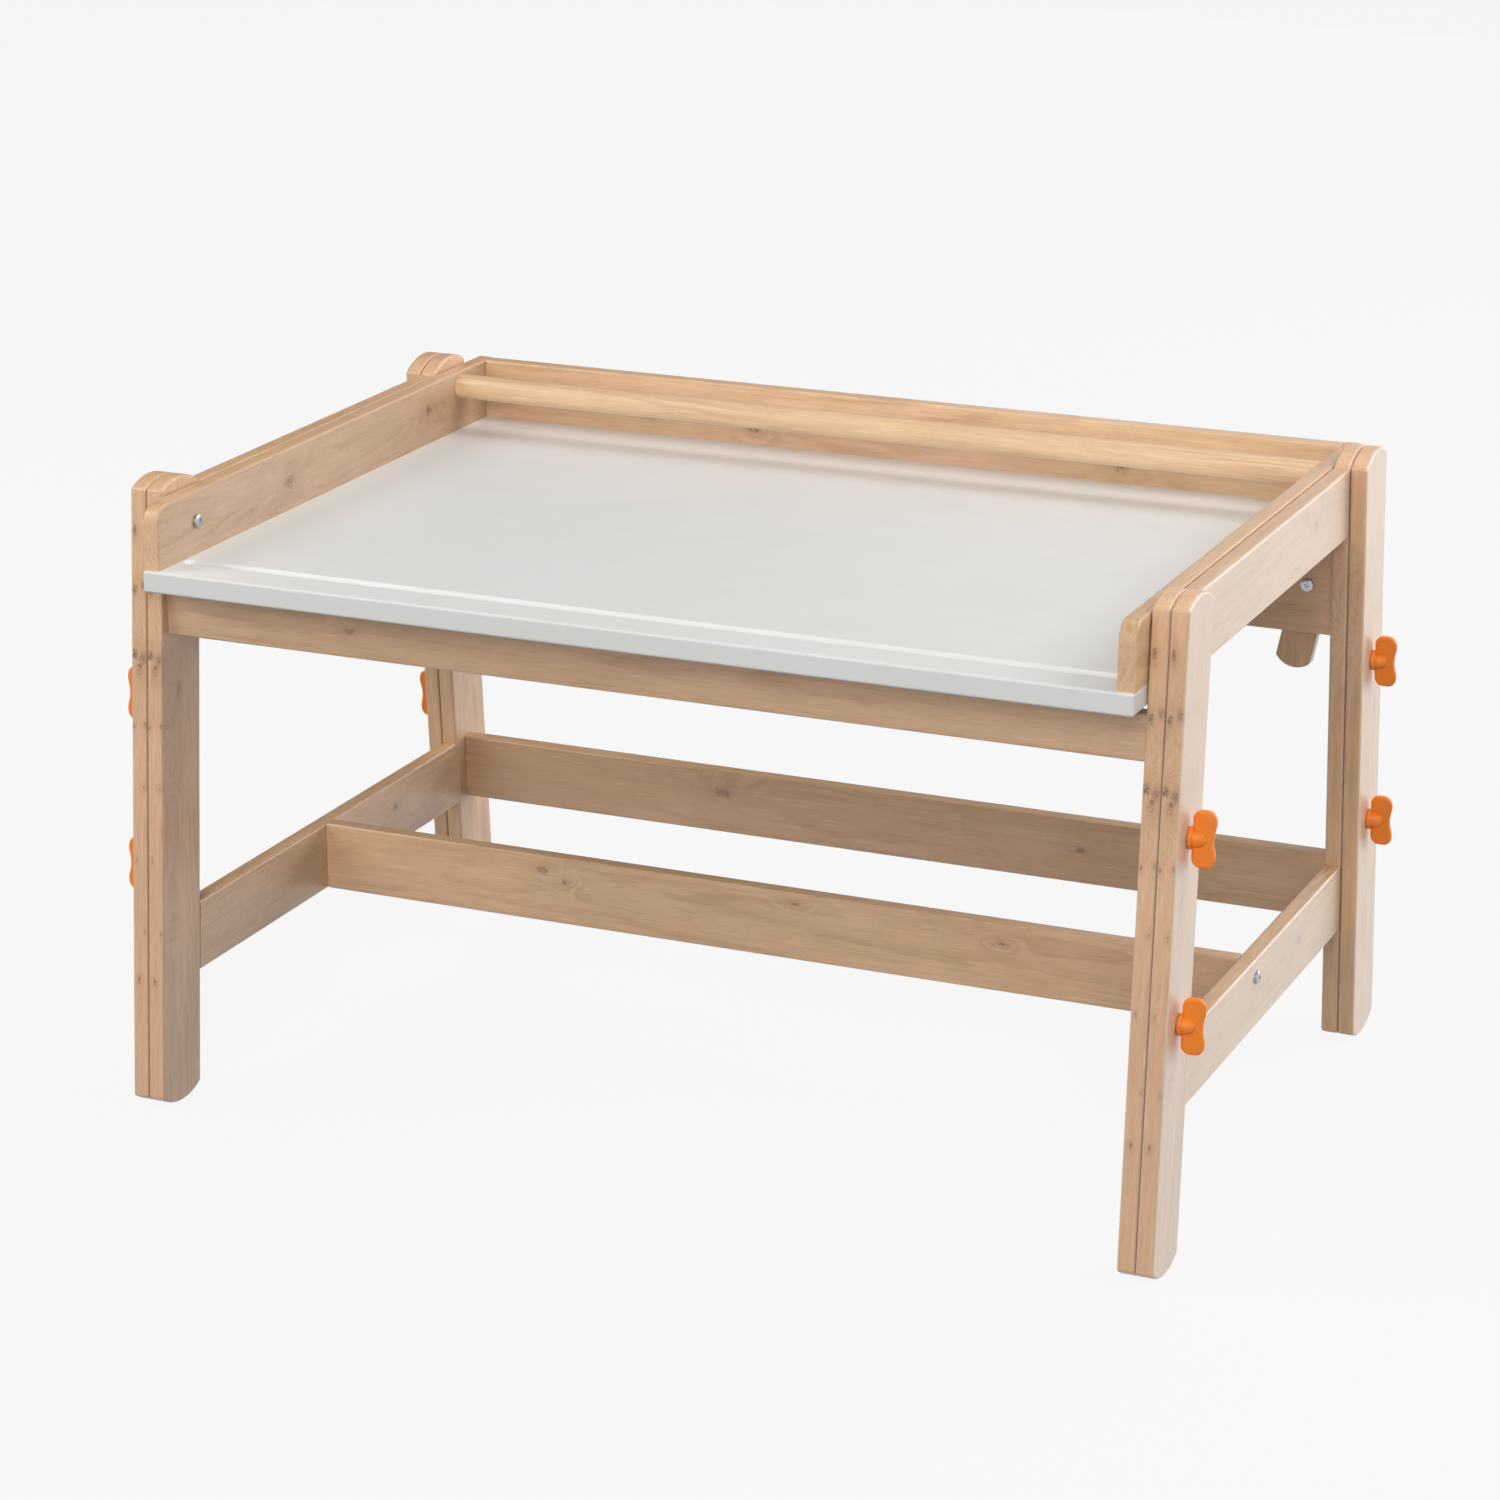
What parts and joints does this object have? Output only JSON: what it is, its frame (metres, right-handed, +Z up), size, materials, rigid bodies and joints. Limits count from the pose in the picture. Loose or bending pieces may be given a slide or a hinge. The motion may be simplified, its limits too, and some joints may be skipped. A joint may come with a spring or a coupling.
{
  "type": "drafting table",
  "caption": "Low pine drafting table with a lift-up white tray top, roll rod, swing-out props and height-adjustable double-board legs clamped by orange wing knobs.",
  "frame": {"origin": "on the floor, under the middle of the table", "axes": "+X to the sitter's right, +Y from the sitter to the back of the table, +Z up"},
  "size_m": [0.933, 0.6058, 0.53],
  "materials": {
    "pine": "clear lacquered pine with small pin knots",
    "beech_dowel": "plain turned dowel, unfinished",
    "white_panel": "fibreboard with a smooth white lacquer",
    "orange_plastic": "moulded orange plastic, satin",
    "zinc_steel": "zinc plated steel",
    "insert_brass": "turned brass"
  },
  "bodies": {
    "frame": {"inner_leg_fl": "pine", "inner_leg_fr": "pine", "inner_leg_bl": "pine", "inner_leg_br": "pine", "upper_rail_l": "pine", "upper_rail_r": "pine", "lower_rail_l": "pine", "lower_rail_r": "pine", "front_apron": "pine", "back_apron": "pine", "mid_crossbar": "pine", "back_crossbar": "pine", "pivot_bolt_l": "zinc_steel", "pivot_bolt_r": "zinc_steel", "pivot_washers": "zinc_steel", "prop_bolts": "zinc_steel", "prop_washers": "zinc_steel", "prop_nuts": "zinc_steel", "rail_dowels": "beech_dowel", "bar_dowels": "beech_dowel", "frame_bolts": "zinc_steel", "crossbar_bolts": "zinc_steel", "barrel_nuts": "zinc_steel", "inserts_fl": "insert_brass", "inserts_fr": "insert_brass", "inserts_bl": "insert_brass", "inserts_br": "insert_brass", "pivot_inserts": "insert_brass"},
    "leg_fl": {"outer_leg_fl": "pine"},
    "knob_fl_top": {"knob_fl_top": "orange_plastic", "stud_fl_top": "zinc_steel"},
    "knob_fl_low": {"knob_fl_low": "orange_plastic", "stud_fl_low": "zinc_steel"},
    "leg_fr": {"outer_leg_fr": "pine"},
    "knob_fr_top": {"knob_fr_top": "orange_plastic", "stud_fr_top": "zinc_steel"},
    "knob_fr_low": {"knob_fr_low": "orange_plastic", "stud_fr_low": "zinc_steel"},
    "leg_bl": {"outer_leg_bl": "pine"},
    "knob_bl_top": {"knob_bl_top": "orange_plastic", "stud_bl_top": "zinc_steel"},
    "knob_bl_low": {"knob_bl_low": "orange_plastic", "stud_bl_low": "zinc_steel"},
    "leg_br": {"outer_leg_br": "pine"},
    "knob_br_top": {"knob_br_top": "orange_plastic", "stud_br_top": "zinc_steel"},
    "knob_br_low": {"knob_br_low": "orange_plastic", "stud_br_low": "zinc_steel"},
    "tray": {"tray_panel": "white_panel", "tray_side_l": "pine", "tray_side_r": "pine", "tray_back": "pine", "tray_screws": "zinc_steel"},
    "rod": {"roll_rod": "pine"},
    "prop_left": {"prop_l": "pine"},
    "prop_right": {"prop_r": "pine"}
  },
  "joints": [
    {"name": "leg_fl_slide", "type": "slide", "parent": "frame", "child": "leg_fl", "axis": [0, -0.0743, -0.9972], "range_m": [0, 0.145]},
    {"name": "leg_fr_slide", "type": "slide", "parent": "frame", "child": "leg_fr", "axis": [0, -0.0743, -0.9972], "range_m": [0, 0.145]},
    {"name": "leg_bl_slide", "type": "slide", "parent": "frame", "child": "leg_bl", "axis": [0, 0.0743, -0.9972], "range_m": [0, 0.145]},
    {"name": "leg_br_slide", "type": "slide", "parent": "frame", "child": "leg_br", "axis": [0, 0.0743, -0.9972], "range_m": [0, 0.145]},
    {"name": "knob_fl_top_turn", "type": "hinge", "parent": "leg_fl", "child": "knob_fl_top", "pos_m": [-0.4455, -0.24802, 0.3448], "axis": [-1, 0, 0], "continuous": true},
    {"name": "knob_fl_low_turn", "type": "hinge", "parent": "leg_fl", "child": "knob_fl_low", "pos_m": [-0.4455, -0.25879, 0.2002], "axis": [-1, 0, 0], "continuous": true},
    {"name": "knob_fr_top_turn", "type": "hinge", "parent": "leg_fr", "child": "knob_fr_top", "pos_m": [0.4455, -0.24802, 0.3448], "axis": [1, 0, 0], "continuous": true},
    {"name": "knob_fr_low_turn", "type": "hinge", "parent": "leg_fr", "child": "knob_fr_low", "pos_m": [0.4455, -0.25879, 0.2002], "axis": [1, 0, 0], "continuous": true},
    {"name": "knob_bl_top_turn", "type": "hinge", "parent": "leg_bl", "child": "knob_bl_top", "pos_m": [-0.4455, 0.24802, 0.3448], "axis": [-1, 0, 0], "continuous": true},
    {"name": "knob_bl_low_turn", "type": "hinge", "parent": "leg_bl", "child": "knob_bl_low", "pos_m": [-0.4455, 0.25879, 0.2002], "axis": [-1, 0, 0], "continuous": true},
    {"name": "knob_br_top_turn", "type": "hinge", "parent": "leg_br", "child": "knob_br_top", "pos_m": [0.4455, 0.24802, 0.3448], "axis": [1, 0, 0], "continuous": true},
    {"name": "knob_br_low_turn", "type": "hinge", "parent": "leg_br", "child": "knob_br_low", "pos_m": [0.4455, 0.25879, 0.2002], "axis": [1, 0, 0], "continuous": true},
    {"name": "tray_tilt", "type": "hinge", "parent": "frame", "child": "tray", "pos_m": [0, -0.23689, 0.4941], "axis": [1, 0, 0], "range_deg": [0, 5]},
    {"name": "rod_roll", "type": "hinge", "parent": "tray", "child": "rod", "pos_m": [0, 0.229, 0.5055], "axis": [1, 0, 0], "continuous": true},
    {"name": "prop_left_swing", "type": "hinge", "parent": "frame", "child": "prop_left", "pos_m": [-0.391, 0.2546, 0.4084], "axis": [0, -1, 0], "range_deg": [0, 168]},
    {"name": "prop_right_swing", "type": "hinge", "parent": "frame", "child": "prop_right", "pos_m": [0.391, 0.2546, 0.4084], "axis": [0, 1, 0], "range_deg": [0, 168]}
  ],
  "couplings": [
    {"joint": "leg_fr_slide", "follows": "leg_fl_slide", "ratio": 1},
    {"joint": "leg_bl_slide", "follows": "leg_fl_slide", "ratio": 1},
    {"joint": "leg_br_slide", "follows": "leg_fl_slide", "ratio": 1},
    {"joint": "prop_left_swing", "follows": "tray_tilt", "ratio": 33.6},
    {"joint": "prop_right_swing", "follows": "tray_tilt", "ratio": 33.6}
  ]
}
